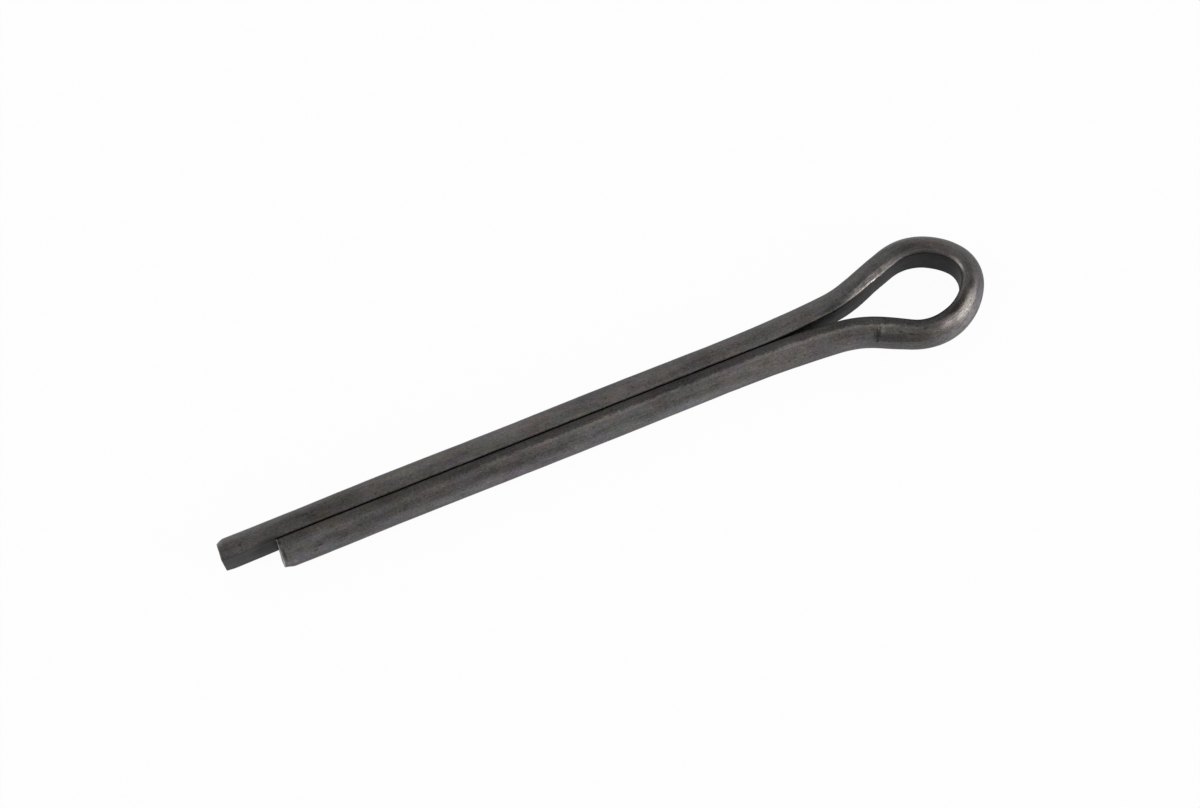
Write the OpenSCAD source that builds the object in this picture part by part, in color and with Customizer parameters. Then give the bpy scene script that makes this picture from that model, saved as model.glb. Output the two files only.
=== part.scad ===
// Extended-prong cotter pin: one length of half-round wire, folded over into an
// eye so that its flat side faces inward and the two legs lie together as a
// round shank. The legs end in square sheared tips, and one is longer.
//
// +X runs along the shank towards the eye, +Z is up, and the eye lies flat in
// the XY plane. The origin is on the shank's axis, at the head end of the
// shank, where the two legs begin to part. The near leg is on the -Y side and
// the far leg on the +Y side.

/* [Wire] */
// Diameter of the round shank that the two legs make together
shank_d = 5.6; // [4.8:0.1:6.8]
// Gap between the flat sides of the two legs
leg_gap = 0.1; // [0.05:0.05:0.3]
// Radius of the shoulders, by which the round side eases over to the edges
shoulder_r = 1.1; // [0.8:0.05:1.2]
// Radius of the edges, between the shoulders and the flat side
edge_r = 0.4; // [0.3:0.05:0.5]

/* [Legs] */
// Length of the round shank, from its head end to the tip of the near leg
shank_len = 56.2; // [20:0.1:100]
// How far the far leg runs on past the tip of the near leg
prong_len = 6; // [2:0.1:12]
// Depth of the bevel that the shear leaves on the round side of the near tip
near_bevel_depth = 0.25; // [0.1:0.05:0.8]
// Length of that bevel along the leg
near_bevel_len = 0.8; // [0.4:0.1:1.5]
// Depth of the bevel on the round side of the far tip
far_bevel_depth = 0.45; // [0.1:0.05:0.8]
// Length of that bevel along the leg
far_bevel_len = 0.6; // [0.4:0.1:1.5]

/* [Throat] */
// Radius of the slow bend by which each leg first leaves the shank
opening_r = 82; // [50:1:86]
// Angle turned through by the slow bend
opening_angle = 6.6; // [2:0.1:7]
// Radius of the tighter bend that carries the leg on into the throat
flare_r = 14.6; // [10:0.1:16]

/* [Eye] */
// Distance from the head end of the shank to the inside of the crown
eye_len = 24.3; // [24:0.1:30]
// Greatest width of the opening of the eye
eye_w = 7.3; // [5.8:0.1:7.7]
// Inside radius of each cheek, between the throat and the crown
cheek_r = 5.2; // [4.5:0.05:5.6]
// Inside radius of the crown, at the far end of the eye
crown_r = 2.25; // [1.5:0.05:3]
// Angle by which the eye leans from the line of the shank, towards the far leg
eye_lean = 3.2; // [-8:0.2:8]
// Sideways shift of the centre of the crown, towards the far leg
eye_shift = -0.2; // [-0.5:0.05:0.9]

/* [Hidden] */
$fn = 96;

// Neighbouring stretches of the wire differ by this inset, and the slimmer one
// runs this far into the other, so that no two surfaces lie on each other.
joint_inset = 0.02;
joint_lap = 0.05;
// An edge stands this far proud of its shoulder, and a shoulder of the round
// side, so that the arcs cross where they would otherwise only just touch.
arc_lap = 0.001;

shank_r = shank_d / 2;
flat_out = leg_gap / 2;
// Direction, from that of the round side's middle, in which a shoulder hands
// over to its edge, and then the one in which the round side hands over to it
edge_from = 108;
shoulder_from =
    acos((flat_out + edge_r - (shoulder_r - edge_r) * cos(edge_from)) / (shank_r - shoulder_r));
// Centres of a shoulder and its edge, from the shank's axis outwards and up
shoulder_centre = (shank_r - shoulder_r) * unit(shoulder_from);
edge_centre = shoulder_centre + (shoulder_r - edge_r) * unit(edge_from);
// The line that cuts off the round side runs between these two points, one well
// inside the shoulder and one well outside the wire
shoulder_inner = shoulder_centre + edge_r * unit(shoulder_from);
shoulder_outer = 2 * shank_d * unit(shoulder_from);

// Half of the angle that the crown turns through: it sets the width of the eye
crown_half = asin((cheek_r - eye_w / 2) / (cheek_r - crown_r));
crown_centre = [eye_len - crown_r, eye_shift];

// A leg is worked out on the near side. The far leg is the mirror image of a
// near leg whose eye leans and shifts the other way, which side = -1 stands for.
flat_y = -flat_out;
opening_centre = [0, flat_y - opening_r];
flare_centre = opening_centre + (opening_r - flare_r) * unit(90 - opening_angle);

function unit(angle) = [cos(angle), sin(angle)];

// Polar angle at which the cheek hands over to the crown
function crown_from(side) = side * eye_lean - crown_half;

// Centre of the cheek, which meets the crown without a kink
function cheek_centre(side) =
    [crown_centre[0], side * crown_centre[1]] - (cheek_r - crown_r) * unit(crown_from(side));

// Length of the straight neck, which touches both the flare and the cheek
function neck_len(side) =
    sqrt(pow(norm(cheek_centre(side) - flare_centre), 2) - pow(flare_r + cheek_r, 2));

// Angle between the neck and the line of the shank
function neck_angle(side) =
    let (across = cheek_centre(side) - flare_centre)
    atan2(flare_r + cheek_r, neck_len(side)) - atan2(across[1], across[0]);

// Section of the wire, with its flat side on the Y axis and its round side
// towards +X
module wire_section(inset) {
    translate([-flat_out, 0]) {
        intersection() {
            circle(r = shank_r - inset);
            polygon([
                [flat_out + inset, -edge_centre[1]],
                [edge_centre[0], -edge_centre[1]],
                [shoulder_inner[0], -shoulder_inner[1]],
                [shoulder_outer[0], -shoulder_outer[1]],
                shoulder_outer,
                shoulder_inner,
                edge_centre,
                [flat_out + inset, edge_centre[1]]
            ]);
        }
        for (down = [0, 1])
            mirror([0, down])
                rolled_side(inset);
    }
}

// Shoulder and edge on the upper side of the section
module rolled_side(inset) {
    intersection() {
        translate(shoulder_centre)
            circle(r = shoulder_r - inset + arc_lap);
        polygon([
            shoulder_centre,
            shoulder_centre + [shank_d, 0],
            shoulder_centre + shank_d * unit(edge_from)
        ]);
    }
    translate(edge_centre)
        circle(r = edge_r - inset + 2 * arc_lap);
}

// Straight wire along +X, with its flat side on the XZ plane and its round side
// towards -Y
module straight(length, inset = 0) {
    lap = inset > 0 ? joint_lap : 0;
    translate([-lap, 0])
        rotate([90, 0, 90])
            linear_extrude(length + 2 * lap)
                rotate(180)
                    wire_section(inset);
}

// Bend about a centre, from one polar angle to the next. The flat side lies on
// the radius, and the round side faces outwards, or inwards where that is true.
module bend(centre, radius, from, to, inset = 0, inwards = false) {
    lap = inset > 0 ? joint_lap / radius * 180 / PI : 0;
    translate(centre)
        rotate(from - lap)
            rotate_extrude(angle = to - from + 2 * lap)
                translate([radius, 0])
                    mirror([inwards ? 1 : 0, 0])
                        wire_section(inset);
}

// Sliver that the shear takes off the round side of a tip
module tip_bevel(tip_x, depth, length) {
    translate([tip_x, -shank_r, -shank_r])
        linear_extrude(shank_d)
            polygon([
                [-length, 2 * depth],
                [-length, -depth],
                [2 * length, -depth]
            ]);
}

// One leg, from its tip round to the end of its cheek
module leg(length, side, bevel_depth, bevel_len) {
    cheek = cheek_centre(side);
    angle = neck_angle(side);
    neck = neck_len(side);
    difference() {
        translate([-length, flat_y])
            straight(length);
        tip_bevel(-length, bevel_depth, bevel_len);
    }
    bend(opening_centre, opening_r, 90 - opening_angle, 90, joint_inset, inwards = true);
    bend(flare_centre, flare_r, 90 - angle, 90 - opening_angle, inwards = true);
    translate(cheek - cheek_r * unit(90 - angle))
        rotate(-angle)
            translate([-neck, 0])
                straight(neck, joint_inset);
    bend(cheek, cheek_r, -90 - angle, crown_from(side));
}

module cotter_pin() {
    color([0.3, 0.29, 0.29]) {
        leg(shank_len, 1, near_bevel_depth, near_bevel_len);
        mirror([0, 1, 0])
            leg(shank_len + prong_len, -1, far_bevel_depth, far_bevel_len);
        bend(crown_centre, crown_r, eye_lean - crown_half, eye_lean + crown_half, joint_inset);
    }
}

cotter_pin();
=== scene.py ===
"""Looks of a split cotter pin: one length of drawn half-round wire folded round an open eye."""

import logging
import math
from collections.abc import Callable
from dataclasses import dataclass, field
from enum import Enum

import bpy
from mathutils import Color, Matrix, Vector


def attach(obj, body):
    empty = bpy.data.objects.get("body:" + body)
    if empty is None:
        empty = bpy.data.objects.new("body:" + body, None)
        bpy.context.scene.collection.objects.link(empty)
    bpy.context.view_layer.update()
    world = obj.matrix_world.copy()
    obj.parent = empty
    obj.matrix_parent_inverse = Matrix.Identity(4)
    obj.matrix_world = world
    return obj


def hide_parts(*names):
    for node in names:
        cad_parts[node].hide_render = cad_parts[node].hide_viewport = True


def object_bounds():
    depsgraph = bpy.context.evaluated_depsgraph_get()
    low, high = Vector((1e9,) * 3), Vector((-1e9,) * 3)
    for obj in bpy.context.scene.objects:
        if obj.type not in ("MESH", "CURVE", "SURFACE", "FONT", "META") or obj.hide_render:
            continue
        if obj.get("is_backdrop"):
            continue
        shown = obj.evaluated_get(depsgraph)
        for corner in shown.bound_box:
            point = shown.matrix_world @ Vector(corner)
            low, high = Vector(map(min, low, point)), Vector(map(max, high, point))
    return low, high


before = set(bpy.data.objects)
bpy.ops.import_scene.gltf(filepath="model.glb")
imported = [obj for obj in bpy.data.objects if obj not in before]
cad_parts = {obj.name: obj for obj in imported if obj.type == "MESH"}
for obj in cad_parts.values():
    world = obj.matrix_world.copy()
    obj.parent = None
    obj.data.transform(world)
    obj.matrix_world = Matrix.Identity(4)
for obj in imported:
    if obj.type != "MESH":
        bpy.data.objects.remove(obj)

MM = 0.001
# Points that are closer than this are taken to be in the same place
HAIR = 1e-4 * MM
# Corners of a plain face
QUAD = 4
# Where a Mix node keeps its factor, its two colours and its mixed colour
COLOUR_MIX_INPUTS = (0, 6, 7)
COLOUR_MIX_OUTPUT = 2
LOG = logging.getLogger("cotter_pin")

Object = bpy.types.Object
Socket = bpy.types.NodeSocket
Triple = tuple[float, float, float]
Colour = tuple[float, float, float, float]
Ramp = tuple[float, ...]
Trace = tuple[tuple[float, float], ...]


class Part(Enum):
    """What a test picks on a mesh."""

    VERTEX = "VERT"
    EDGE = "EDGE"
    FACE = "FACE"


class Turn(Enum):
    """Which way the wire goes, seen from above, on its way from the far tip."""

    STRAIGHT = 0
    LEFT = 1
    RIGHT = -1


class Fade(Enum):
    """How a soft push fades out with the distance from what is picked."""

    SMOOTH = "SMOOTH"
    STRAIGHT = "LINEAR"
    SHARP = "SHARP"


def clear_selection() -> None:
    """Leaves object mode and deselects every object."""
    if bpy.context.mode != "OBJECT":
        bpy.ops.object.mode_set(mode="OBJECT")
    bpy.ops.object.select_all(action="DESELECT")


def take_up(piece: Object) -> None:
    """Makes a piece the only selected and active object.

    Args:
        piece: The object that the next operators work on.
    """
    clear_selection()
    piece.select_set(True)
    bpy.context.view_layer.objects.active = piece


def settle(piece: Object) -> None:
    """Puts a piece's place and turn into its mesh, so that its object sits at the origin."""
    take_up(piece)
    bpy.ops.object.transform_apply(location=True, rotation=True, scale=True)


def pick(piece: Object, part: Part, test: Callable[[list[Vector]], bool]) -> None:
    """Selects what passes a test of its corner points, and leaves the piece in edit mode.

    Args:
        piece: The mesh object.
        part: Whether vertices, edges or faces are picked.
        test: Says from the corner points whether one is picked.
    """
    take_up(piece)
    bpy.ops.object.mode_set(mode="EDIT")
    bpy.ops.mesh.select_mode(type=part.value)
    bpy.ops.mesh.select_all(action="DESELECT")
    bpy.ops.object.mode_set(mode="OBJECT")
    mesh = piece.data
    points = mesh.vertices
    if part is Part.VERTEX:
        found = [v for v in points if test([v.co])]
    else:
        items = mesh.edges if part is Part.EDGE else mesh.polygons
        found = [item for item in items if test([points[i].co for i in item.vertices])]
    for item in found:
        item.select = True
    bpy.ops.object.mode_set(mode="EDIT")


def pick_points(piece: Object, test: Callable[[Vector], bool]) -> None:
    """Selects the points that pass a test, and leaves the piece in edit mode."""
    pick(piece, Part.VERTEX, lambda ends: test(ends[0]))


def soft(reach: float, fade: Fade = Fade.SMOOTH) -> dict[str, object]:
    """Settings with which a transform takes along what lies within reach of what is picked.

    Args:
        reach: Distance at which the push has faded out.
        fade: How it fades.

    Returns:
        The operator's settings.
    """
    return {
        "use_proportional_edit": True,
        "proportional_edit_falloff": fade.value,
        "proportional_size": reach,
    }


@dataclass(frozen=True)
class WireSection:
    """The wire's half-round section, with its flat side on y = 0 and its round side towards +y."""

    radius: float = 2.8 * MM
    half_gap: float = 0.05 * MM
    shoulder_radius: float = 1.1 * MM
    edge_radius: float = 0.4 * MM
    edge_from: float = math.radians(108)
    round_sides: int = 96
    shoulder_steps: int = 7
    edge_steps: int = 6
    flat_cuts: int = 13

    @property
    def shoulder_from(self) -> float:
        """Angle above the flat's normal at which the round hands over to the shoulder."""
        drop = (self.shoulder_radius - self.edge_radius) * math.cos(self.edge_from)
        reach = self.radius - self.shoulder_radius
        return math.acos((self.half_gap + self.edge_radius - drop) / reach)

    @property
    def shoulder_centre(self) -> tuple[float, float]:
        """Centre of the upper shoulder, as (y, z)."""
        reach = self.radius - self.shoulder_radius
        y = reach * math.cos(self.shoulder_from) - self.half_gap
        return y, reach * math.sin(self.shoulder_from)

    @property
    def edge_centre(self) -> tuple[float, float]:
        """Centre of the upper edge, as (y, z)."""
        reach = self.shoulder_radius - self.edge_radius
        return self.edge_radius, self.shoulder_centre[1] + reach * math.sin(self.edge_from)

    @property
    def touch(self) -> tuple[float, float]:
        """Where the round hands over to the upper shoulder, as (y, z)."""
        y = self.radius * math.cos(self.shoulder_from) - self.half_gap
        return y, self.radius * math.sin(self.shoulder_from)

    def draw(self, name: str) -> Object:
        """Draws the section as one face on the YZ plane.

        Args:
            name: Name of the new object.

        Returns:
            The new object, with the face picked in edit mode.
        """
        clear_selection()
        bpy.ops.mesh.primitive_circle_add(
            vertices=self.round_sides,
            radius=self.radius,
            fill_type="NGON",
            location=(0, -self.half_gap, 0),
            rotation=(0, math.pi / 2, 0),
        )
        bar = bpy.context.object
        bar.name = bar.data.name = name
        settle(bar)
        touch_y = self.touch[0]
        bpy.ops.object.mode_set(mode="EDIT")
        bpy.ops.mesh.select_all(action="SELECT")
        bpy.ops.mesh.bisect(
            plane_co=(0, touch_y, 0), plane_no=(0, 1, 0), clear_inner=True, threshold=HAIR
        )
        pick(bar, Part.EDGE, lambda ends: all(abs(p.y - touch_y) < HAIR for p in ends))
        bpy.ops.mesh.delete(type="EDGE_FACE")
        shoulder_angle = self.edge_from - self.shoulder_from
        for up in (1, -1):
            pick_points(bar, lambda point: abs(point.y - touch_y) < HAIR and point.z * up > 0)
            self._roll(self.shoulder_centre, up, shoulder_angle, self.shoulder_steps)
            self._roll(self.edge_centre, up, math.pi - self.edge_from, self.edge_steps)
        pick_points(bar, lambda point: abs(point.y) < HAIR)
        bpy.ops.mesh.edge_face_add()
        bpy.ops.mesh.subdivide(number_cuts=self.flat_cuts)
        bpy.ops.mesh.select_all(action="SELECT")
        bpy.ops.mesh.remove_doubles(threshold=HAIR)
        bpy.ops.mesh.edge_face_add()
        return bar

    def _roll(self, centre: tuple[float, float], up: int, angle: float, steps: int) -> None:
        """Spins the picked end of the outline on round one more arc.

        Args:
            centre: Centre of the arc on the upper side, as (y, z).
            up: 1 for the upper side and -1 for the lower one.
            angle: How far the arc turns.
            steps: Number of sides along the arc.
        """
        bpy.ops.mesh.spin(
            steps=steps, angle=-up * angle, center=(0, centre[0], up * centre[1]), axis=(1, 0, 0)
        )


@dataclass(frozen=True)
class Stretch:
    """One stretch of the wire: straight, or bent round one centre."""

    turn: Turn
    length: float
    angle: float
    ring_gap: float

    @property
    def radius(self) -> float:
        """Radius of the flat side on a bend."""
        return self.length / self.angle


@dataclass(frozen=True)
class WirePath:
    """The line of the wire's flat side, from the far tip round the eye to the near tip."""

    leg_gap: float = 0.05 * MM
    near_leg: float = 56.2 * MM
    prong: float = 6 * MM
    opening_r: float = 82 * MM
    opening_angle: float = math.radians(6.6)
    flare_r: float = 14.6 * MM
    eye_len: float = 24.3 * MM
    eye_w: float = 7.3 * MM
    cheek_r: float = 5.2 * MM
    crown_r: float = 2.25 * MM
    eye_lean: float = math.radians(3.2)
    eye_shift: float = -0.2 * MM
    leg_ring_gap: float = 0.35 * MM
    far_flare_ring_gap: float = 0.25 * MM
    near_flare_ring_gap: float = 0.1 * MM
    neck_ring_gap: float = 0.3 * MM
    cheek_ring_gap: float = 0.15 * MM
    crown_ring_gap: float = 0.08 * MM
    fewest_bend_steps: int = 8

    @property
    def crown_half(self) -> float:
        """Half of the angle that the crown turns through."""
        return math.asin((self.cheek_r - self.eye_w / 2) / (self.cheek_r - self.crown_r))

    @property
    def start(self) -> Vector:
        """Where the line begins, at the far tip."""
        return Vector((-self.near_leg - self.prong, self.leg_gap / 2, 0))

    def neck(self, side: int) -> tuple[float, float]:
        """Solves the straight neck that touches both the flare and the cheek.

        Args:
            side: 1 for the near leg and -1 for the far leg.

        Returns:
            The neck's length, and its angle to the shank.
        """
        reach = self.cheek_r - self.crown_r
        handover = side * self.eye_lean - self.crown_half
        cheek = Vector((self.eye_len - self.crown_r, side * self.eye_shift))
        cheek -= reach * Vector((math.cos(handover), math.sin(handover)))
        flare = Vector((0, -self.leg_gap / 2 - self.opening_r))
        flare += (self.opening_r - self.flare_r) * Vector(
            (math.sin(self.opening_angle), math.cos(self.opening_angle))
        )
        across = cheek - flare
        radii = self.flare_r + self.cheek_r
        length = math.sqrt(across.length_squared - radii**2)
        return length, math.atan2(radii, length) - math.atan2(across.y, across.x)

    def stretches(self) -> list[Stretch]:
        """Lists the stretches of the wire in order.

        Returns:
            The far leg, opening, flare, neck and cheek, the crown, and the same on the near side.
        """

        def bent(turn: Turn, radius: float, angle: float, ring_gap: float) -> Stretch:
            """A bend of that radius and angle."""
            return Stretch(turn, radius * angle, angle, ring_gap)

        def flare(angle: float, ring_gap: float) -> Stretch:
            """The tighter bend on to a neck of that angle."""
            return bent(Turn.LEFT, self.flare_r, angle - self.opening_angle, ring_gap)

        def cheek(side: int, angle: float) -> Stretch:
            """The bend from a neck of that angle to the crown."""
            turned = math.pi / 2 + angle + side * self.eye_lean - self.crown_half
            return bent(Turn.RIGHT, self.cheek_r, turned, self.cheek_ring_gap)

        def straight(length: float, ring_gap: float) -> Stretch:
            """A straight run of that length."""
            return Stretch(Turn.STRAIGHT, length, 0, ring_gap)

        far_neck, far_angle = self.neck(-1)
        near_neck, near_angle = self.neck(1)
        opening = bent(Turn.LEFT, self.opening_r, self.opening_angle, self.leg_ring_gap)
        return [
            straight(self.near_leg + self.prong, self.leg_ring_gap),
            opening,
            flare(far_angle, self.far_flare_ring_gap),
            straight(far_neck, self.neck_ring_gap),
            cheek(-1, far_angle),
            bent(Turn.RIGHT, self.crown_r, 2 * self.crown_half, self.crown_ring_gap),
            cheek(1, near_angle),
            straight(near_neck, self.neck_ring_gap),
            flare(near_angle, self.near_flare_ring_gap),
            opening,
            straight(self.near_leg, self.leg_ring_gap),
        ]

    def draw(self) -> Object:
        """Draws the line by running and spinning one point, and turns it into a flat curve.

        Returns:
            The curve object.
        """
        clear_selection()
        bpy.ops.mesh.primitive_plane_add(size=MM, location=self.start)
        line = bpy.context.object
        line.name = line.data.name = "wire_path"
        settle(line)
        bpy.ops.object.mode_set(mode="EDIT")
        bpy.ops.mesh.select_mode(type="VERT")
        bpy.ops.mesh.select_all(action="SELECT")
        bpy.ops.mesh.merge(type="CENTER")
        place, heading = self.start, 0.0
        for stretch in self.stretches():
            ahead = Vector((math.cos(heading), math.sin(heading), 0))
            if stretch.turn is Turn.STRAIGHT:
                step = stretch.length * ahead
                place = place + step
                bpy.ops.mesh.extrude_region_move(TRANSFORM_OT_translate={"value": step})
                continue
            way = stretch.turn.value
            centre = place + way * stretch.radius * Vector((-ahead.y, ahead.x, 0))
            steps = max(self.fewest_bend_steps, round(math.degrees(stretch.angle)))
            turn = -way * stretch.angle
            bpy.ops.mesh.spin(steps=steps, angle=turn, center=centre, axis=(0, 0, 1))
            heading += way * stretch.angle
            outwards = Vector((math.sin(heading), -math.cos(heading), 0))
            place = centre + way * stretch.radius * outwards
        bpy.ops.object.mode_set(mode="OBJECT")
        bpy.ops.object.convert(target="CURVE")
        line.data.dimensions = "2D"
        return line


@dataclass(frozen=True)
class FineSpot:
    """A part of the bar that carries its rings of edges closer together."""

    start: float
    end: float
    ring_gap: float


@dataclass(frozen=True)
class Facet:
    """The flat that runs along the near leg's upper shoulder, from its ridge down to the seam."""

    run_in: float = 99.2 * MM
    start: float = 101.2 * MM
    tilt: float = math.radians(8)


@dataclass(frozen=True)
class Press:
    """A soft change of the section at a place along the bar, with its lengths in millimetres."""

    at: float
    reach: float
    lean: float = 0.0
    shift: float = 0.0
    girth: float = 1.0


@dataclass(frozen=True)
class ShearedTip:
    """How the shear left one tip.

    Its outer corner is pressed in and its end face leans back, with a soft rim. A sag takes the
    round side's end back along the bar, or further out where it is below nothing.
    """

    corner_depth: float
    corner_length: float
    corner_from: float
    corner_fade: Fade
    taper: float
    taper_length: float
    sag: float
    slant: float
    rim: float
    sag_length: float = 1.6 * MM
    slant_length: float = 1.5 * MM
    rim_steep: float = 0.71
    rim_shallow: float = 0.29
    face_rings: int = 4
    face_ring_scale: float = 0.64


@dataclass(frozen=True)
class ToolMark:
    """The notch that the forming tool left across the near leg's neck, with a lip beside it.

    Each is a line through places along the bar, in millimetres, and angles above its middle.
    """

    trace: Trace = (
        (101.38, 64), (101.3, 55), (101.24, 44), (101.26, 33), (101.42, 27), (101.62, 24),
    )
    half_width: float = 0.06 * MM
    depth: float = 0.075 * MM
    reach: float = 0.2 * MM
    lip: Trace = ((101.12, 74), (100.98, 62), (100.93, 52))
    lip_height: float = 0.04 * MM
    lowest_out: float = 0.5 * MM


@dataclass(frozen=True)
class Nudge:
    """A small push on the surface round one place: inwards for a dent, outwards for a burr."""

    place: Triple
    reach: float
    push: float


@dataclass
class FoldedWire:
    """The pin itself: a straight bar with sheared tips, folded along its path."""

    section: WireSection = WireSection()
    path: WirePath = WirePath()
    facet: Facet = Facet()
    mark: ToolMark = ToolMark()
    far_tip: ShearedTip = ShearedTip(
        corner_depth=0.27 * MM,
        corner_length=1.0 * MM,
        corner_from=1.2 * MM,
        corner_fade=Fade.SHARP,
        taper=0.965,
        taper_length=0.85 * MM,
        sag=0.1 * MM,
        slant=0.0,
        rim=0.07 * MM,
    )
    near_tip: ShearedTip = ShearedTip(
        corner_depth=0.22 * MM,
        corner_length=1.2 * MM,
        corner_from=1.4 * MM,
        corner_fade=Fade.SMOOTH,
        taper=0.985,
        taper_length=0.5 * MM,
        sag=-0.12 * MM,
        slant=math.radians(2.8),
        rim=0.05 * MM,
    )
    tip_length: float = 5.2 * MM
    tip_ring_gap: float = 0.15 * MM
    fine_spots: tuple[FineSpot, ...] = (FineSpot(100.8 * MM, 102.4 * MM, 0.06 * MM),)
    presses: tuple[Press, ...] = (
        Press(0.0, 9, shift=-0.11, girth=1.045),
        Press(20, 16, girth=1.04),
        Press(44, 20, girth=1.03),
        Press(65.5, 8, girth=1.045),
        Press(75.5, 3.5, lean=math.radians(-1.9)),
        Press(85.2, 3.5, girth=0.97),
        Press(89.2, 4.2, lean=math.radians(4.2), girth=0.945),
        Press(97.0, 3.2, shift=0.1, girth=0.93),
        Press(111.0, 10, girth=1.045),
        Press(136.0, 28, girth=1.03),
        Press(168.0, 12, girth=1.03),
    )
    nudges: tuple[Nudge, ...] = (
        Nudge((167.3 * MM, 2.21 * MM, 1.72 * MM), 0.35 * MM, -0.06 * MM),
        Nudge((167.9 * MM, 2.47 * MM, 1.31 * MM), 0.3 * MM, -0.05 * MM),
        Nudge((171.5 * MM, 0.1 * MM, 2.4 * MM), 0.35 * MM, 0.1 * MM),
    )
    dent_size: float = 2.4 * MM
    dent_depth: float = 0.035 * MM
    most_cuts: int = 100
    end_reach: float = 1 * MM
    same_ring: float = 0.01 * MM
    crease_angle: float = math.radians(32)
    bar: Object | None = field(default=None, init=False)

    @property
    def length(self) -> float:
        """Developed length of the wire along its flat."""
        return sum(stretch.length for stretch in self.path.stretches())

    def build(self) -> Object:
        """Builds the folded wire.

        Returns:
            The finished object, at the origin.
        """
        self.bar = self.section.draw("folded_wire")
        self._run_out()
        self._remember_bar()
        for press in self.presses:
            self._press(press)
        self._shear(0, 1, self.far_tip)
        self._shear(self.length, -1, self.near_tip)
        self._mark()
        for nudge in self.nudges:
            self._nudge(nudge)
        self._dent()
        self._fold()
        take_up(self.bar)
        bpy.ops.object.shade_smooth_by_angle(angle=self.crease_angle)
        return self.bar

    def _spans(self) -> list[tuple[float, int]]:
        """Lists the spans between the bar's first rings.

        Returns:
            Where each span ends, and how many lengths its later rings cut it into.
        """
        gaps, done = [], 0.0
        for stretch in self.path.stretches():
            done += stretch.length
            gaps.append((done, stretch.ring_gap))
        spots = self.fine_spots + (
            FineSpot(0, self.tip_length, self.tip_ring_gap),
            FineSpot(done - self.tip_length, done, self.tip_ring_gap),
        )
        places = {0.0, self.facet.run_in, self.facet.start} | {end for end, _ in gaps}
        places |= {place for spot in spots for place in (spot.start, spot.end)}
        places = sorted(places)
        spans = []
        for start, end in zip(places, places[1:]):
            middle = (start + end) / 2
            gap = next(gap for until, gap in gaps if middle < until)
            gap = min([gap] + [spot.ring_gap for spot in spots if spot.start < middle < spot.end])
            chunks = math.ceil((end - start) / gap / self.most_cuts)
            length = (end - start) / chunks
            count = max(1, round(length / gap))
            spans += [(start + length * (n + 1), count) for n in range(chunks)]
        return spans

    def _run_out(self) -> None:
        """Runs the section out to the whole length, presses the facet, and adds the later rings."""
        spans, done = self._spans(), 0.0
        for end, _ in spans:
            bpy.ops.mesh.extrude_region_move(TRANSFORM_OT_translate={"value": (end - done, 0, 0)})
            done = end
        self._press_facet()
        done = 0.0
        for end, count in spans:
            at = (done + end) / 2
            if count > 1:
                pick(self.bar, Part.EDGE, lambda ends: (ends[0].x - at) * (ends[1].x - at) < 0)
                bpy.ops.mesh.subdivide(number_cuts=count - 1)
            done = end

    def _press_facet(self) -> None:
        """Brings each row of the near leg's upper shoulder down to the facet."""
        ridge_y, ridge_z = self.section.touch
        clear_selection()
        rows = {}
        for point in self.bar.data.vertices:
            drop = point.co.z - ridge_z - (point.co.y - ridge_y) * math.tan(self.facet.tilt)
            if point.co.x < HAIR and point.co.z > 0 and point.co.y < ridge_y and drop > HAIR:
                rows[point.co.y] = drop
        start = self.facet.start - HAIR
        for y, drop in rows.items():
            pick_points(
                self.bar, lambda point: point.x > start and abs(point.y - y) < HAIR and point.z > 0
            )
            bpy.ops.transform.translate(value=(0, 0, -drop))

    def _press(self, press: Press) -> None:
        """Leans, thins and shifts the section round one ring.

        Args:
            press: What is done, and where.
        """
        rings = (v.co.x for v in self.bar.data.vertices)
        ring = min(rings, key=lambda x: abs(x - press.at * MM))
        pick_points(self.bar, lambda point: abs(point.x - ring) < HAIR)
        hinge, fade = (ring, 0, self.section.edge_centre[1]), soft(press.reach * MM)
        bpy.ops.transform.rotate(value=-press.lean, orient_axis="X", center_override=hinge, **fade)
        bpy.ops.transform.resize(value=(1, press.girth, 1), center_override=hinge, **fade)
        bpy.ops.transform.translate(value=(0, press.shift * MM, 0), **fade)

    def _shear(self, at: float, inwards: int, tip: ShearedTip) -> None:
        """Shapes one tip as the shear left it.

        Args:
            at: Where the tip is along the bar.
            inwards: 1 where the bar lies towards +x of the tip, and -1 otherwise.
            tip: The sizes of the tip.
        """
        middle, lean = (at, self.section.radius / 2, 0), -inwards * tip.slant
        corner, sag = soft(tip.corner_length, tip.corner_fade), soft(tip.sag_length)
        taper, slant = soft(tip.taper_length, Fade.STRAIGHT), soft(tip.slant_length)
        pick_points(self.bar, lambda point: abs(point.x - at) < HAIR and point.y > tip.corner_from)
        bpy.ops.transform.translate(value=(0, -tip.corner_depth, 0), **corner)
        bpy.ops.transform.translate(value=(inwards * tip.sag, 0, 0), **sag)
        pick_points(self.bar, lambda point: abs(point.x - at) < abs(tip.sag) + HAIR)
        bpy.ops.transform.resize(value=(1, tip.taper, tip.taper), center_override=middle, **taper)
        bpy.ops.transform.rotate(value=lean, orient_axis="Y", center_override=middle, **slant)
        sunk = inwards * (self.section.radius * math.sin(tip.slant) + tip.rim)
        bpy.ops.transform.translate(value=(sunk, 0, 0), **slant)
        self._close_end(at, tip, at + sunk + inwards * tip.sag / 2)

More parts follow.
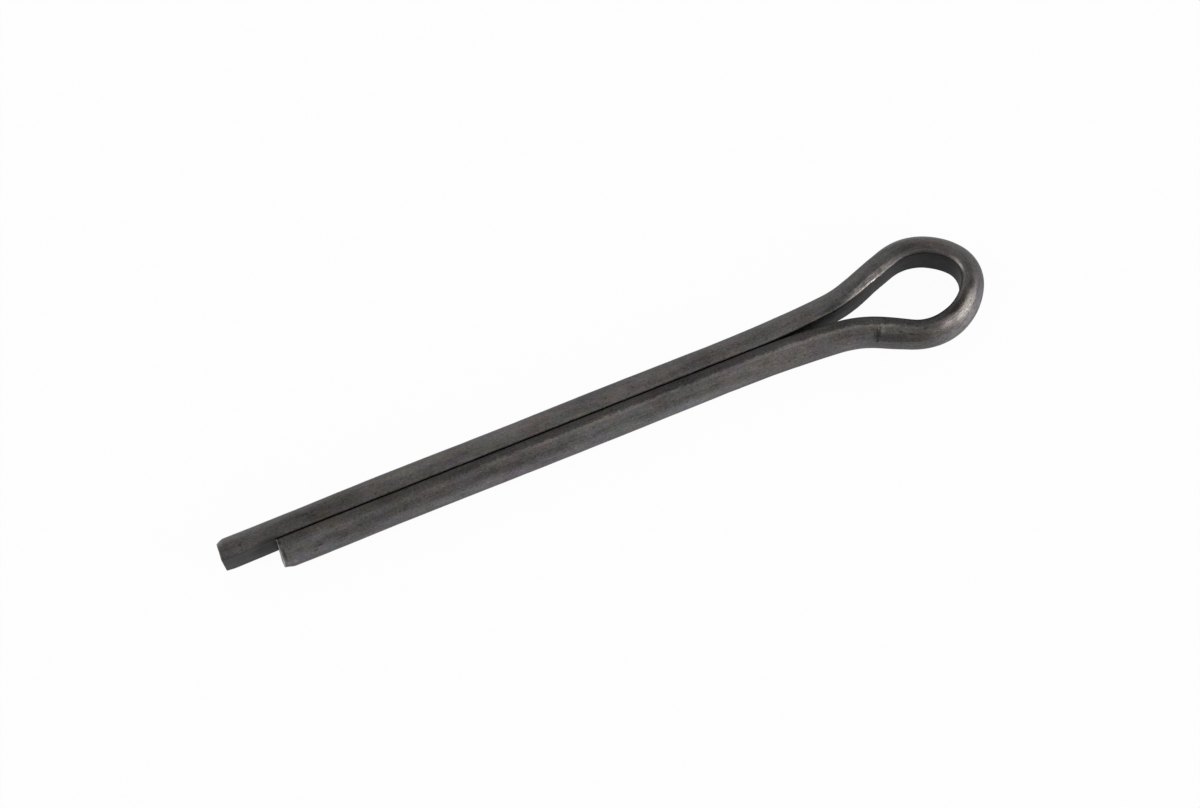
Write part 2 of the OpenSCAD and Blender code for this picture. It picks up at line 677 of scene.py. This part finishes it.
    def _close_end(self, at: float, tip: ShearedTip, heart: float) -> None:
        """Rounds one end's rim, and fills the end with smaller and smaller rings.

        The new points copy their neighbours' place on the bar, so they are given their own.

        Args:
            at: Where the tip is along the bar.
            tip: The sizes of the tip.
            heart: Where the middle of its end face has come to, along the bar.
        """
        near = self.end_reach
        pick(self.bar, Part.FACE, lambda ends: len(ends) > QUAD and abs(ends[0].x - at) < near)
        bpy.ops.mesh.inset(thickness=tip.rim_shallow * tip.rim, depth=tip.rim_steep * tip.rim)
        bpy.ops.mesh.inset(thickness=tip.rim_steep * tip.rim, depth=tip.rim_shallow * tip.rim)
        for _ in range(tip.face_rings):
            bpy.ops.mesh.extrude_region_move()
            bpy.ops.transform.resize(
                value=(tip.face_ring_scale,) * 3,
                center_override=(heart, self.section.radius / 2, 0),
            )
        bpy.ops.object.mode_set(mode="OBJECT")
        for point, kept in zip(self.bar.data.vertices, self.bar.data.attributes["bar"].data):
            if abs(kept.vector[0] * MM - at) < self.same_ring:
                kept.vector = (at / MM, point.co.y / MM, point.co.z / MM)

    def _mark(self) -> None:
        """Presses the tool's notch into the round side and raises its lip."""
        mark, radius = self.mark, self.section.radius

        def near(point: Vector, trace: Trace) -> bool:
            """Tells whether a point of the round side lies on a line.

            Args:
                point: The point.
                trace: The places and angles that the line runs through.

            Returns:
                True where it does.
            """
            place = Vector((point.x, radius * math.atan2(point.z, point.y)))
            corners = [Vector((along * MM, radius * math.radians(angle))) for along, angle in trace]
            for start, end in zip(corners, corners[1:]):
                way = end - start
                share = min(1, max(0, (place - start).dot(way) / way.length_squared))
                if (start.lerp(end, share) - place).length < mark.half_width:
                    return point.y > mark.lowest_out and point.z > 0
            return False

        pick_points(self.bar, lambda point: near(point, mark.trace))
        bpy.ops.transform.shrink_fatten(value=-mark.depth, **soft(mark.reach))
        pick_points(self.bar, lambda point: near(point, mark.lip))
        bpy.ops.transform.shrink_fatten(value=mark.lip_height, **soft(mark.reach))

    def _nudge(self, nudge: Nudge) -> None:
        """Makes one dent or burr.

        Args:
            nudge: Where it is, how wide and how deep.
        """
        place = Vector(nudge.place)
        points = (v.co.copy() for v in self.bar.data.vertices)
        nearest = min(points, key=lambda point: (point - place).length)
        pick_points(self.bar, lambda point: (point - nearest).length < HAIR)
        bpy.ops.transform.shrink_fatten(value=nudge.push, **soft(nudge.reach))

    def _remember_bar(self) -> None:
        """Keeps each point's place on the straight bar, in millimetres, for the finish."""
        clear_selection()
        kept = self.bar.data.attributes.new("bar", "FLOAT_VECTOR", "POINT")
        for point, value in zip(self.bar.data.vertices, kept.data):
            value.vector = point.co / MM

    def _dent(self) -> None:
        """Gives the drawn surface its slight unevenness."""
        take_up(self.bar)
        unevenness = bpy.data.textures.new("unevenness", "CLOUDS")
        unevenness.noise_scale = self.dent_size
        dent = self.bar.modifiers.new("dent", "DISPLACE")
        dent.texture = unevenness
        dent.texture_coords = "LOCAL"
        dent.strength = self.dent_depth
        bpy.ops.object.modifier_apply(modifier=dent.name)

    def _fold(self) -> None:
        """Folds the bar along its path."""
        line = self.path.draw()
        take_up(self.bar)
        fold = self.bar.modifiers.new("fold", "CURVE")
        fold.object = line
        fold.deform_axis = "POS_X"
        bpy.ops.object.modifier_apply(modifier=fold.name)
        bpy.data.objects.remove(line)


@dataclass(frozen=True)
class Patch:
    """A rounded place on the bar, in millimetres along, out and up, and how strong it is."""

    centre: Triple
    reach: Triple
    strength: float


@dataclass(frozen=True)
class Grain:
    """A noise: its features per millimetre along, out and up, and its finer layers."""

    features: Triple
    detail: float = 3.0
    roughness: float = 0.5


class NodeBench:
    """Lays out the nodes of one material or world."""

    def __init__(self, owner: bpy.types.Material | bpy.types.World) -> None:
        """Empties the owner's node tree.

        Args:
            owner: The material or world.
        """
        owner.use_nodes = True
        self.tree = owner.node_tree
        self.tree.nodes.clear()

    def add(self, kind: str, *values: object, **settings: object) -> bpy.types.Node:
        """Adds a node.

        Args:
            kind: Name of the node's type.
            *values: What its first inputs are fed, in order.
            **settings: The properties that it gets.

        Returns:
            The node.
        """
        node = self.tree.nodes.new(kind)
        for name, value in settings.items():
            setattr(node, name, value)
        for socket, value in zip(node.inputs, values):
            self.feed(socket, value)
        return node

    def feed(self, target: Socket, value: object) -> None:
        """Gives a socket a link or a plain value.

        Args:
            target: The socket to feed.
            value: Another socket, or a number, vector or colour.
        """
        if isinstance(value, Socket):
            self.tree.links.new(value, target)
        else:
            target.default_value = value

    def fill(self, node: bpy.types.Node, values: dict[str, object]) -> None:
        """Feeds a node's inputs by their names."""
        for name, value in values.items():
            self.feed(node.inputs[name], value)

    def show(self, output: str, shader: Socket) -> None:
        """Adds the output node of that kind and feeds it a shader."""
        self.fill(self.add(output), {"Surface": shader})

    def parts(self, vector: Socket) -> list[Socket]:
        """Splits a vector into its three parts."""
        return list(self.add("ShaderNodeSeparateXYZ", vector).outputs)

    def math(self, operation: str, *values: object) -> Socket:
        """Does the sum of that name with numbers or sockets."""
        return self.add("ShaderNodeMath", *values, operation=operation).outputs["Value"]

    def scale(self, vector: Socket, factors: object, shift: Triple = (0, 0, 0)) -> Socket:
        """Scales a vector along each axis, by numbers or a socket, and then shifts it."""
        values = (vector, factors, shift)
        return self.add("ShaderNodeVectorMath", *values, operation="MULTIPLY_ADD").outputs["Vector"]

    def product(self, first: Socket, *others: object) -> Socket:
        """Multiplies a socket by numbers or other sockets, one after the other.

        Args:
            first: The socket.
            *others: What it is multiplied by.

        Returns:
            The product's socket.
        """
        for other in others:
            first = self.math("MULTIPLY", first, other)
        return first

    def total(self, start: float, noises: tuple[Socket, ...], weights: Ramp) -> Socket:
        """Adds noises, each less its middle, to a start value.

        Args:
            start: The start value.
            noises: The sockets to add.
            weights: What each is multiplied by.

        Returns:
            The total's socket.
        """
        result = start - sum(weights) / 2
        for value, weight in zip(noises, weights):
            result = self.math("MULTIPLY_ADD", value, weight, result)
        return result

    def span(
        self,
        value: object,
        low: float,
        high: float,
        first: object = 0.0,
        last: float = 1.0,
        smooth: bool = True,
    ) -> Socket:
        """Maps a span of values to another, held at its ends.

        Args:
            value: The socket to map.
            low: Value that becomes first.
            high: Value that becomes last.
            first: Result at low, as a number or a socket.
            last: Result at high.
            smooth: Whether the ends ease in and out.

        Returns:
            The mapped socket.
        """
        values, kind = (value, low, high, first, last), "SMOOTHSTEP" if smooth else "LINEAR"
        node = self.add("ShaderNodeMapRange", *values, interpolation_type=kind, clamp=True)
        return node.outputs["Result"]

    def blend(self, factor: object, first: object, second: object) -> Socket:
        """Mixes two colours.

        Args:
            factor: Share of the second colour.
            first: A colour or socket.
            second: A colour or socket.

        Returns:
            The mixed colour's socket.
        """
        node = self.add("ShaderNodeMix", data_type="RGBA")
        for place, value in zip(COLOUR_MIX_INPUTS, (factor, first, second)):
            self.feed(node.inputs[place], value)
        return node.outputs[COLOUR_MIX_OUTPUT]


class BarBench(NodeBench):
    """Lays out the nodes of a finish that follows the straight bar."""

    def __init__(self, owner: bpy.types.Material) -> None:
        """Reads the places on the bar: along it, out from its flat side, and up.

        Args:
            owner: The material.
        """
        super().__init__(owner)
        self.bar = self.add("ShaderNodeAttribute", attribute_name="bar").outputs["Vector"]
        self.along, self.out, self.up = self.parts(self.bar)

    def patch(self, patch: Patch, core: float) -> Socket:
        """Fades a patch's strength in, from its outline to its core.

        Args:
            patch: The patch.
            core: Share of the reach over which it has its whole strength.

        Returns:
            The strength's socket.
        """
        factors = tuple(1 / reach for reach in patch.reach)
        offset = tuple(-place / reach for place, reach in zip(patch.centre, patch.reach))
        away = self.scale(self.bar, factors, offset)
        away = self.add("ShaderNodeVectorMath", away, operation="LENGTH").outputs["Value"]
        return self.span(away, core, 1.0, patch.strength, 0.0)

    def noise(self, grain: Grain, output: str = "Fac") -> Socket:
        """Reads a noise.

        Args:
            grain: The noise.
            output: "Fac" for one noise, or "Color" for one in each channel.

        Returns:
            The noise's socket.
        """
        node = self.add("ShaderNodeTexNoise", self.scale(self.bar, grain.features))
        sizes = {"Scale": 1.0, "Detail": grain.detail, "Roughness": grain.roughness}
        self.fill(node, sizes)
        return node.outputs[output]


def tone(red: float, green: float, blue: float) -> Colour:
    """Turns a colour of 0 to 255 a channel, as a screen shows it, into a linear one."""
    shown = Color((red / 255, green / 255, blue / 255))
    return *shown.from_srgb_to_scene_linear(), 1.0


@dataclass(frozen=True)
class DrawnSteel:
    """Dark drawn steel: mottled oxide, dark flats, pits, specks, wear, painted shade and light.

    Places are in millimetres, along the bar from the far tip, out from its flat side and up, and
    near_end counts back from the near tip. A ramp holds the two values that it runs between and,
    where they aren't 0 and 1, what it gives at each. A shade's strength is the share of the light
    that it takes away, or adds where it is below nothing.
    """

    name: str = "drawn_steel"
    plain: Colour = tone(104, 100.5, 98.8)
    # Bright rubbed metal, also used for the painted highlights
    bright: Colour = tone(203, 194, 189)
    # Painted reflection: the lower sides are tinted bluer, for the pale surroundings that they
    # reflect
    cool: Colour = (0.98, 1.0, 1.07, 1)
    cool_below: Ramp = (2.2, 0.9)
    tint_least: Triple = (0.8, 0.89, 0.775)
    tint_spread: Triple = (0.4, 0.22, 0.45)
    grazing_tint: Colour = (0.75, 0.75, 0.75, 1)
    roughness: Ramp = (0.3, 0.7, 0.42, 0.5)
    rub_polish: float = 0.16
    bump_strength: float = 0.6
    bump_depth: float = 0.02 * MM

    mottle: Grain = Grain((0.1, 0.35, 0.35), 2)
    cloud: Grain = Grain((0.5, 1, 1))
    grain: Grain = Grain((3, 4, 4), roughness=0.6)
    fine: Grain = Grain((8, 9, 9), 1)
    lines: Grain = Grain((0.25, 6, 6))
    tints: Grain = Grain((0.4, 0.7, 0.7))
    pits: Grain = Grain((2.2, 3.6, 3.6), 2)
    specks: Grain = Grain((5.5, 6.5, 6.5), 1)
    strokes: Grain = Grain((0.9, 6.5, 6.5), roughness=0.6)
    level_weights: Ramp = (1.2, 0.8, 1.0, 1.1, 0.6)
    bump_weights: Ramp = (1.5, 1.6, 0.6, 0.8)
    ragged_weights: Ramp = (0.35, 0.3)
    pit_level: Ramp = (0.27, 0.35, 0.55, 1.0)
    speck_level: Ramp = (0.7, 0.79, 1.0, 2.2)
    stroke_level: Ramp = (0.34, 0.72, 0.2, 1.0)

    # Flat side and its edges by the seam darker: partly dark scale, partly painted shade of the
    # fold
    flat: Ramp = (0.005, 0.05)
    flat_levels: Ramp = (0.58, 0.25)
    flat_edge: Ramp = (0.05, 0.3, 0.78, 1.0)
    far_cheek_in: Ramp = (79.8, 80.9)
    far_cheek_out: Ramp = (86.5, 90.0, 1.0, 0.0)

    band_along: Ramp = (91.5, 93.5)
    band_up: Ramp = (1.6, 2.1)
    band_level: Ramp = (0.3, 1.0, 0.56, 0.72)
    band_edge: Ramp = (0.76, 1.04)
    band_crisp: Ramp = (140.0, 156.0, 1.0, 0.0)
    band_faint: Ramp = (0.4, 1.5, 0.6, 1.0)
    # A ragged painted highlight along the facet's ridge
    ridge_highlight_in: Ramp = (0.9, 1.0)
    ridge_highlight_out: Ramp = (1.14, 1.35, 1.0, 0.0)
    ridge_highlight_along: Ramp = (98.8, 99.8, 0.0, 0.45)

    far_end: Ramp = (0.0, 0.03, 1.1, 0.0)
    near_end: Ramp = (0.069, 0.019, 0.0, 2.2)
    end_raggedness: float = 1.6

    shade_core: float = 0.35
    rub_core: float = 0.2
    # Rubbed metal on the bends, with painted highlights where the lamp's light falls on them
    rubs_and_highlights: tuple[Patch, ...] = (
        Patch((92.0, 1.65, 2.15), (2.6, 0.9, 0.85), 0.45),
        Patch((77.3, 0.42, 2.5), (5.0, 0.62, 0.9), 1.0),
        Patch((87.9, 0.33, 2.55), (1.5, 0.3, 0.35), 0.8),
        Patch((94.6, 1.5, 2.3), (0.8, 0.6, 0.5), 0.3),
        Patch((0.3, 2.4, 0.6), (0.9, 1.3, 2.2), 0.33),
    )
    # Mostly painted shade and light, with a few real dark spots, scratches and a stain
    painted_light_and_marks: tuple[Patch, ...] = (
        Patch((90.1, 1.25, 2.45), (0.75, 0.55, 0.4), 0.45),
        Patch((96.9, 1.9, 2.0), (1.2, 0.6, 0.6), 0.3),
        Patch((99.2, 2.15, 1.6), (3.8, 0.8, 1.1), 0.43),
        Patch((92.6, 0.75, 2.6), (3.2, 0.5, 0.4), 0.5),
        # Painted shade: the far cheek's top, darker than its outer side
        Patch((84.2, 0.9, 2.6), (5.5, 1.1, 0.6), 0.3),
        # Painted shade in the tool's notch
        Patch((101.42, 1.65, 2.15), (0.34, 1.0, 1.3), 0.42),
        Patch((101.62, 1.95, 1.9), (0.62, 0.85, 1.0), 0.36),
        # Painted highlight on the notch's lip
        Patch((100.95, 1.5, 2.3), (0.3, 0.6, 0.7), -0.35),
        # Painted shade at the notch's lower end
        Patch((101.48, 2.42, 1.2), (0.3, 0.3, 0.45), 0.55),
        # Painted shadow of the near tip on the far leg's flat
        Patch((5.4, 0.1, 0.5), (2.8, 0.6, 3.4), 0.6),
        # Painted shadow line beside the near tip's end face
        Patch((171.33, 1.9, 1.6), (0.22, 1.1, 1.5), 0.5),
        Patch((171.6, 0.35, 2.3), (0.45, 0.75, 0.9), 0.6),
        Patch((89.4, 1.0, 2.6), (2.2, 0.6, 0.5), 0.3),
        # Darker far cheek inner edge: partly scale, partly painted shade
        Patch((84.2, 0.15, 2.4), (4.6, 0.25, 0.5), 0.35),
        Patch((98.2, 0.7, 2.6), (0.5, 0.14, 0.3), 0.45),
        Patch((99.0, 1.6, 2.2), (0.4, 0.16, 0.3), 0.4),
        Patch((96.6, 1.2, 2.5), (0.3, 0.2, 0.3), 0.45),
        Patch((97.8, 1.75, 2.1), (0.35, 0.16, 0.3), 0.45),
        Patch((102.9, 1.0, 2.6), (0.4, 0.15, 0.3), 0.4),
        # Painted glint on the burr at the near tip's seam corner
        Patch((171.45, 0.2, 2.3), (0.35, 0.4, 0.5), -0.8),
        Patch((71.4, 0.4, 2.6), (2.2, 0.4, 0.4), 0.35),
        # Painted light: the key lamp's highlight spread over the near cheek's outer side
        Patch((92.6, 2.7, 0.9), (4.2, 1.1, 1.8), -0.8),
        # Painted light on the near leg's outer side
        Patch((135.0, 2.75, 0.7), (34.0, 0.9, 1.5), -0.25),
        Patch((155.0, 1.9, 1.9), (20.0, 0.8, 0.8), 0.22),
        Patch((2.0, 0.8, 2.6), (30.0, 1.8, 1.2), 0.22),
        # Painted light on the far cheek's outer side
        Patch((84.5, 2.45, 1.3), (5.5, 0.8, 1.3), -0.6),
        # Painted shade on the far leg's flat deep in the gap between the legs
        Patch((68.0, 0.0, 1.0), (6.0, 0.4, 3.5), 0.25),
        # Painted shade in the two dents
        Patch((167.3, 2.19, 1.74), (0.45, 0.16, 0.2), 0.5),
        Patch((167.9, 2.45, 1.34), (0.35, 0.14, 0.2), 0.45),
        # Painted highlight below the dents
        Patch((167.5, 2.36, 1.5), (0.7, 0.12, 0.18), -0.4),
        Patch((170.3, 2.63, 0.96), (0.35, 0.25, 0.45), -0.45),
        Patch((171.2, 2.7, 0.7), (0.3, 0.3, 0.7), -0.3),
        # Darker flat in the far neck: partly scale, partly painted shade
        Patch((76.5, 0.0, 0.5), (5.0, 0.4, 4.0), 0.2),
    )

    def material(self, length: float) -> bpy.types.Material:
        """Makes the finish, with its painted shade and highlights.

        Args:
            length: Developed length of the bar, in millimetres.

        Returns:
            The material.
        """
        material = bpy.data.materials.new(self.name)
        bench = BarBench(material)
        mottle, cloud, grain, fine, lines = (
            bench.noise(noise)
            for noise in (self.mottle, self.cloud, self.grain, self.fine, self.lines)
        )
        ragged = bench.total(0.0, (grain, cloud), self.ragged_weights)
        # Level of the colour, with painted shade and light from the flats, the facet and the
        # patches
        level = bench.product(
            bench.total(1.0, (mottle, cloud, grain, fine, lines), self.level_weights),
            self._flat_scale_and_shade(bench),
            self._facet(bench, ragged),
            self._specks(bench),
            self._ends(bench, ragged, length),
            *(
                bench.math("SUBTRACT", 1.0, bench.patch(shade, self.shade_core))
                for shade in self.painted_light_and_marks
            ),
        )
        tints = bench.noise(self.tints, "Color")
        tints = bench.scale(tints, self.tint_spread, self.tint_least)
        # Painted reflection tint: bluer towards the lower sides
        cool = bench.blend(bench.span(bench.up, *self.cool_below), (1, 1, 1, 1), self.cool)
        colour = bench.scale(bench.scale(tints, self.plain[:3]), cool)
        # Share of rubbed metal and painted highlight
        rub_and_highlight = self._rub_and_highlight(bench, ragged)
        relief = bench.total(0.0, (cloud, grain, fine, lines), self.bump_weights)
        bump = bench.add("ShaderNodeBump", self.bump_strength, self.bump_depth)
        bench.fill(bump, {"Height": relief})
        dull = bench.span(cloud, *self.roughness)
        looks = {
            "Base Color": bench.blend(rub_and_highlight, bench.scale(colour, level), self.bright),
            "Metallic": 1.0,
            "Roughness": bench.math("MULTIPLY_ADD", rub_and_highlight, -self.rub_polish, dull),
            "Specular Tint": self.grazing_tint,
            "Normal": bump.outputs["Normal"],
        }
        shader = bench.add("ShaderNodeBsdfPrincipled")
        bench.fill(shader, looks)
        bench.show("ShaderNodeOutputMaterial", shader.outputs["BSDF"])
        return material

    def _flat_scale_and_shade(self, bench: BarBench) -> Socket:
        """Darkens the flat side, most of all inside the far cheek, with scale and painted shade.

        Args:
            bench: The finish's bench.

        Returns:
            The share of the light that is left.
        """
        cheek = bench.span(bench.along, *self.far_cheek_in)
        cheek = bench.product(cheek, bench.span(bench.along, *self.far_cheek_out))
        dull = bench.span(cheek, 0.0, 1.0, *self.flat_levels, smooth=False)
        edge = bench.span(bench.out, *self.flat_edge)
        return bench.product(bench.span(bench.out, *self.flat, dull, 1.0), edge)

    def _facet(self, bench: BarBench, ragged: Socket) -> Socket:
        """Darkens the near leg's facet towards the seam and paints a ragged highlight on its ridge.

        Args:
            bench: The finish's bench.
            ragged: How far the edges stray.

        Returns:
            What the light is multiplied by.
        """
        along, out, edge = bench.along, bench.out, bench.math("ADD", bench.out, ragged)
        crisp = bench.span(along, *self.band_crisp)
        depth = bench.span(out, *self.band_level)
        band = bench.product(bench.span(edge, *self.band_edge, depth, 1.0), crisp)
        faint = bench.math("SUBTRACT", 1.0, crisp)
        band = bench.math("MULTIPLY_ADD", bench.span(out, *self.band_faint), faint, band)
        # Painted highlight along the facet's ridge
        ridge = bench.product(
            bench.span(edge, *self.ridge_highlight_in),
            bench.span(edge, *self.ridge_highlight_out),
            bench.span(along, *self.ridge_highlight_along),
            crisp,
        )
        here = bench.span(along, *self.band_along)
        here = bench.product(here, bench.span(bench.up, *self.band_up))
        other = bench.math("SUBTRACT", bench.math("ADD", ridge, band), 1.0)
        return bench.math("MULTIPLY_ADD", here, other, 1.0)

    def _specks(self, bench: BarBench) -> Socket:
        """Strews small dark pits and a few light specks."""
        dark = bench.span(bench.noise(self.pits), *self.pit_level)
        return bench.product(dark, bench.span(bench.noise(self.specks), *self.speck_level))

    def _ends(self, bench: BarBench, ragged: Socket, length: float) -> Socket:
        """Lightens the torn metal of the sheared ends.

        Args:
            bench: The finish's bench.
            ragged: How far the edges stray.
            length: Developed length of the bar, in millimetres.

        Returns:
            What the light is multiplied by.
        """
        far = bench.span(bench.along, *self.far_end)
        near = bench.span(bench.math("SUBTRACT", length, bench.along), *self.near_end)
        torn = bench.math("MULTIPLY_ADD", ragged, self.end_raggedness, 1.0)
        return bench.math("MULTIPLY_ADD", bench.math("MAXIMUM", far, near), torn, 1.0)

    def _rub_and_highlight(self, bench: BarBench, ragged: Socket) -> Socket:
        """Finds how far the oxide is rubbed off, with painted highlights, in fine streaks.

        Args:
            bench: The finish's bench.
            ragged: How far the edges stray.

        Returns:
            The share of bright metal and painted highlight.
        """
        strokes = bench.math("ADD", bench.noise(self.strokes), ragged)
        rub_and_highlight = 0.0
        for patch in self.rubs_and_highlights:
            rub_and_highlight = bench.math("MAXIMUM", bench.patch(patch, self.rub_core), rub_and_highlight)
        return bench.product(rub_and_highlight, bench.span(strokes, *self.stroke_level))


@dataclass(frozen=True)
class Softbox:
    """One soft lamp, aimed at the pin."""

    name: str
    azimuth: float
    elevation: float
    width: float
    radiance: float
    distance: float = 0.45

    def hang(self, target: Vector) -> None:
        """Hangs the lamp.

        Args:
            target: The point that it looks at.
        """
        around, up = math.radians(self.azimuth), math.radians(self.elevation)
        level = math.cos(up)
        way = Vector((level * math.cos(around), level * math.sin(around), math.sin(up)))
        lamp = bpy.data.lights.new(self.name, "AREA")
        lamp.shape = "SQUARE"
        lamp.size = self.width
        lamp.energy = self.radiance * math.pi * self.width**2
        piece = bpy.data.objects.new(self.name, lamp)
        bpy.context.scene.collection.objects.link(piece)
        piece.location = target + self.distance * way
        piece.rotation_euler = way.to_track_quat("Z", "Y").to_euler()


@dataclass(frozen=True)
class Camera:
    """The camera, high over the near side."""

    place: Triple = (-52.150 * MM, -78.719 * MM, 283.677 * MM)
    target: Triple = (-17.773 * MM, 1.772 * MM, -1.641 * MM)
    roll: float = math.radians(0.558)
    lens: float = 81.475
    sensor_width: float = 36.0
    clip: tuple[float, float] = (0.01, 20.0)

    def set_up(self) -> None:
        """Makes the camera the scene's own."""
        data = bpy.data.cameras.new("camera")
        data.sensor_width = self.sensor_width
        data.sensor_fit = "HORIZONTAL"
        data.lens = self.lens
        data.clip_start, data.clip_end = self.clip
        piece = bpy.data.objects.new("camera", data)
        bpy.context.scene.collection.objects.link(piece)
        back = (Vector(self.place) - Vector(self.target)).normalized()
        right = Vector((0, 0, 1)).cross(back).normalized()
        up = back.cross(right)
        turned = Matrix((right, up, back)).transposed().to_4x4()
        turned = turned @ Matrix.Rotation(self.roll, 4, "Z")
        piece.matrix_world = Matrix.Translation(self.place) @ turned
        bpy.context.scene.camera = piece


@dataclass(frozen=True)
class Studio:
    """The pale floor, the plain light and the camera."""

    floor_size: float = 3.0
    floor_colour: Colour = (0.9, 0.9, 0.9, 1)
    camera_white: float = 0.96
    glossy_white: float = 0.4
    sky_levels: tuple[float, float] = (0.9, 0.65)
    aim: Triple = (-0.018, 0, 0)
    lamps: tuple[Softbox, ...] = (
        Softbox("key", -40, 22, 0.2, 4.6),
        Softbox("fill", 170, 45, 0.25, 1.0),
    )
    camera: Camera = Camera()

    def set_up(self, lowest: float) -> None:
        """Builds the studio round the pin.

        Args:
            lowest: Height of the pin's lowest point.
        """
        self._lay_floor(lowest)
        self._light_world()
        for lamp in self.lamps:
            lamp.hang(Vector(self.aim))
        self.camera.set_up()
        bpy.context.scene.view_settings.view_transform = "Standard"

    def _lay_floor(self, lowest: float) -> None:
        """Lays the floor that the pin rests on.

        Args:
            lowest: Height of the floor.
        """
        clear_selection()
        bpy.ops.mesh.primitive_plane_add(size=self.floor_size, location=(0, 0, lowest))
        floor = bpy.context.object
        floor.name = floor.data.name = "floor"
        settle(floor)
        material = bpy.data.materials.new("pale_floor")
        bench = NodeBench(material)
        seen = bench.add("ShaderNodeLightPath").outputs
        white = bench.math(
            "MAXIMUM",
            bench.product(seen["Is Camera Ray"], self.camera_white),
            bench.product(seen["Is Glossy Ray"], self.glossy_white),
        )
        matte = bench.add("ShaderNodeBsdfDiffuse", self.floor_colour).outputs[0]
        glow = bench.add("ShaderNodeEmission").outputs[0]
        mix = bench.add("ShaderNodeMixShader", white, matte, glow)
        bench.show("ShaderNodeOutputMaterial", mix.outputs[0])
        floor.data.materials.append(material)
        floor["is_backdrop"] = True

    def _light_world(self) -> None:
        """Lights the pin evenly from all round, a little less from above."""
        world = bpy.data.worlds.new("studio")
        bpy.context.scene.world = world
        bench = NodeBench(world)
        height = bench.parts(bench.add("ShaderNodeTexCoord").outputs["Generated"])[2]
        level = bench.span(height, 0.0, 1.0, *self.sky_levels, smooth=False)
        seen = bench.add("ShaderNodeLightPath").outputs["Is Camera Ray"]
        light = bench.add("ShaderNodeBackground")
        bench.fill(light, {"Strength": bench.math("MAXIMUM", seen, level)})
        bench.show("ShaderNodeOutputWorld", light.outputs[0])


@dataclass
class CotterPin:
    """The whole pin: one folded wire and its finish."""

    wire: FoldedWire = field(default_factory=FoldedWire)
    finish: DrawnSteel = DrawnSteel()

    def build(self) -> Object:
        """Builds the pin, dresses it and hands it to the frame.

        Returns:
            The pin's object.
        """
        piece = self.wire.build()
        piece.data.materials.clear()
        piece.data.materials.append(self.finish.material(round(self.wire.length / MM, 3)))
        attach(piece, "root")
        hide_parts("cotter_pin")
        LOG.info("%s: %d faces", piece.name, len(piece.data.polygons))
        return piece


def corners() -> list[list[float]]:
    """Lowest and highest corner of what is shown, as plain lists."""
    return [list(corner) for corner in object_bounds()]


def main() -> None:
    """Builds the pin and its studio."""
    logging.basicConfig(level=logging.INFO, format="%(name)s: %(message)s")
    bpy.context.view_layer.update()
    pin = CotterPin().build()
    Studio().set_up(min(v.co.z for v in pin.data.vertices))


if __name__ == "__main__":
    main()
